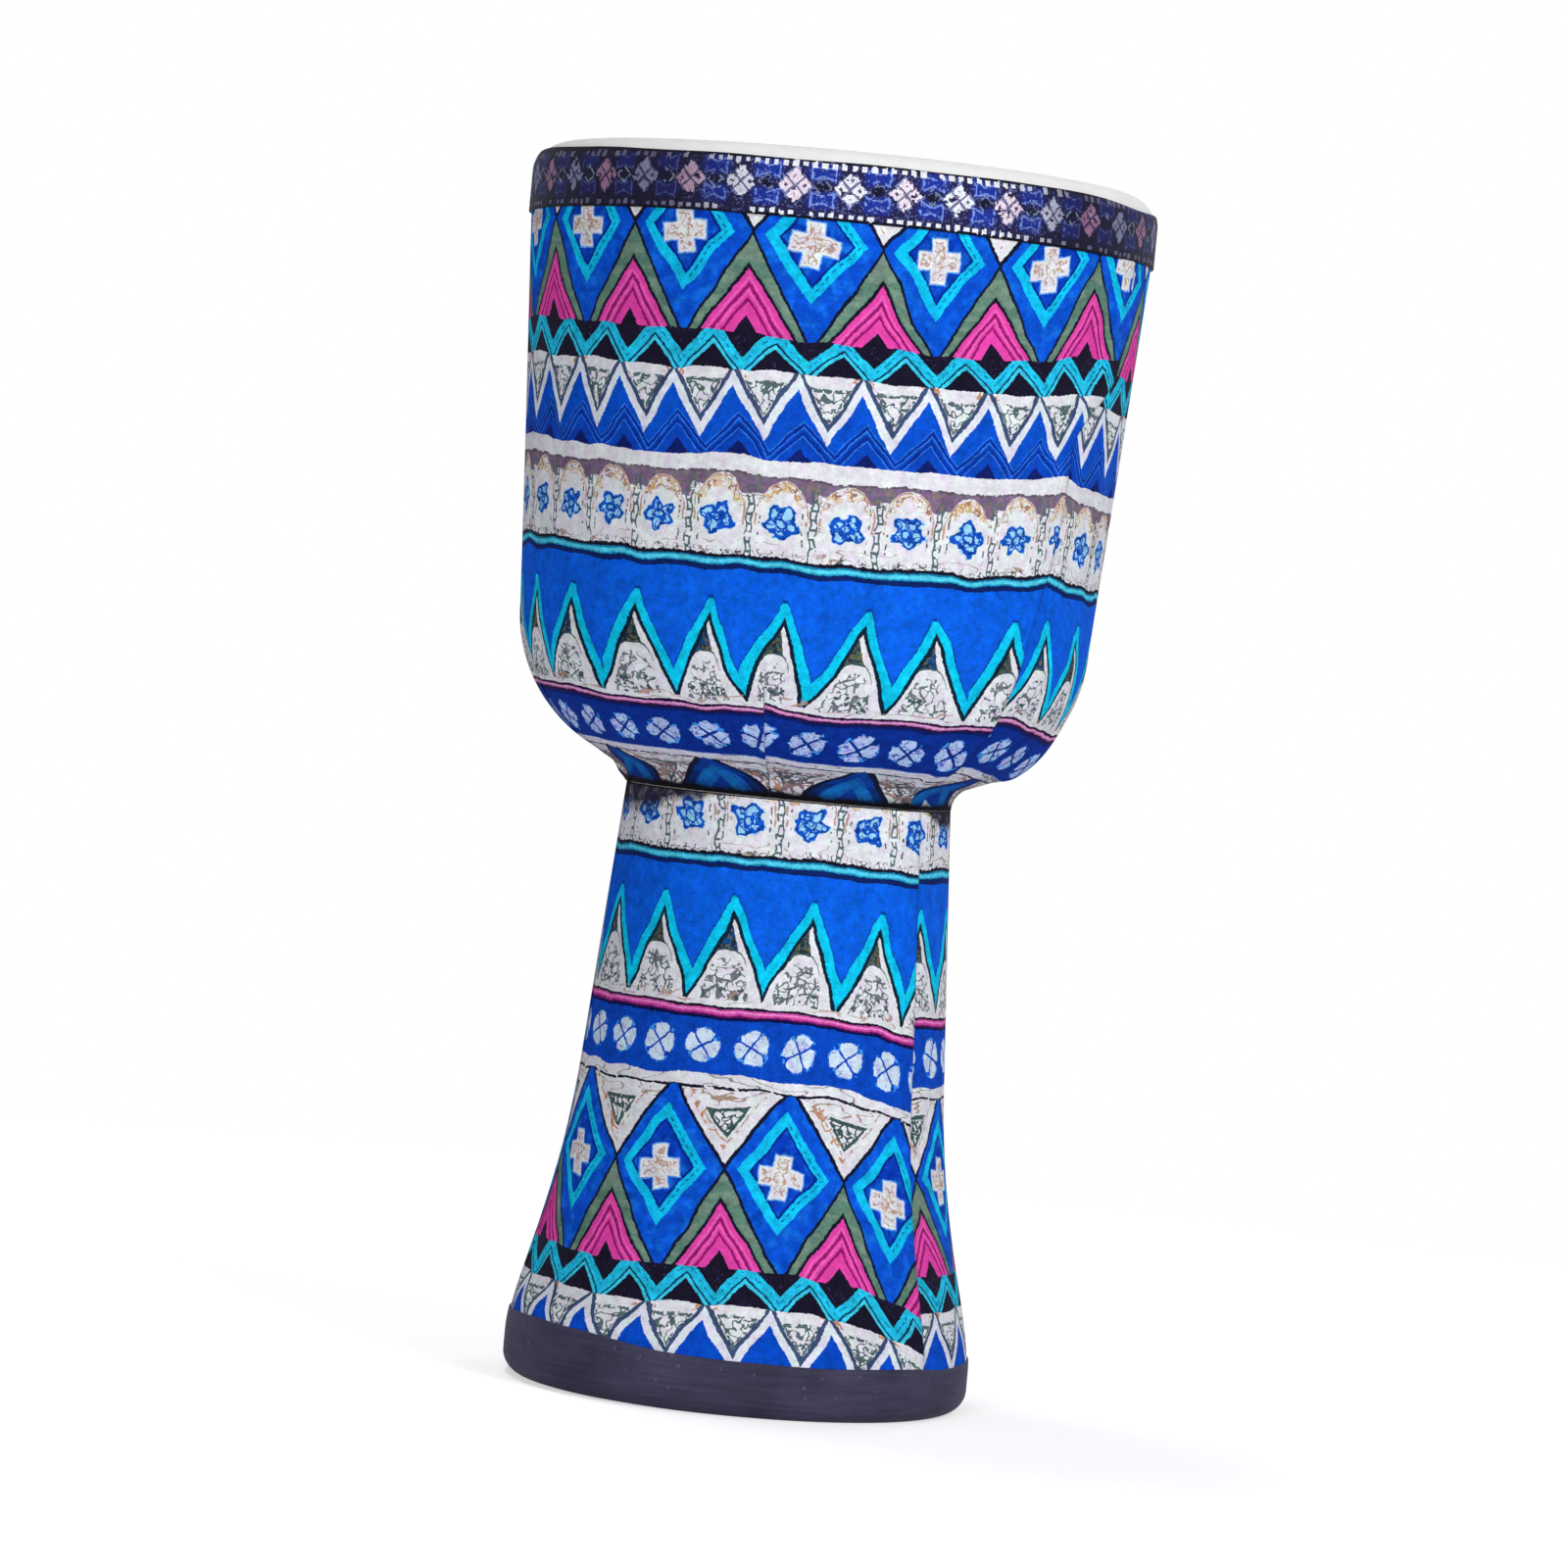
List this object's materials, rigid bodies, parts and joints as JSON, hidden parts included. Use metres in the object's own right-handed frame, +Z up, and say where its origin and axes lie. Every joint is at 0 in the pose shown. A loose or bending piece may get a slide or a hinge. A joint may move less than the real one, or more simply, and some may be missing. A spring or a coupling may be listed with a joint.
{
  "type": "goblet hand drum",
  "caption": "Small goblet-shaped hand drum with a stretched skin, printed cloth covering, woven rim ribbon and an open flared foot.",
  "frame": {"origin": "centre of the foot, on the floor", "axes": "+Z up along the drum's axis, -Y towards the front of the printed pattern, +X to the drum's right as seen from the front"},
  "size_m": [0.2046, 0.2046, 0.4],
  "materials": {
    "shell_plastic": "off-white heat-formed pipe, satin",
    "cement": "set solvent cement, glossy",
    "skin": "bleached white drum skin, matte",
    "staple_steel": "galvanised wire",
    "ribbon": "woven trim, dark navy with white diamonds and blue motifs",
    "printed_cotton": "printed cotton, bright blue with white, cyan, pink and black bands",
    "foot_rubber": "matte dark grey-violet strip"
  },
  "bodies": {
    "root": {"bowl_shell": "shell_plastic", "stem_shell": "shell_plastic", "neck_cement": "cement", "drumhead": "skin", "skirt_staples": "staple_steel", "rim_ribbon": "ribbon", "bowl_wrap": "printed_cotton", "stem_wrap": "printed_cotton", "foot_band": "foot_rubber"}
  },
  "joints": []
}
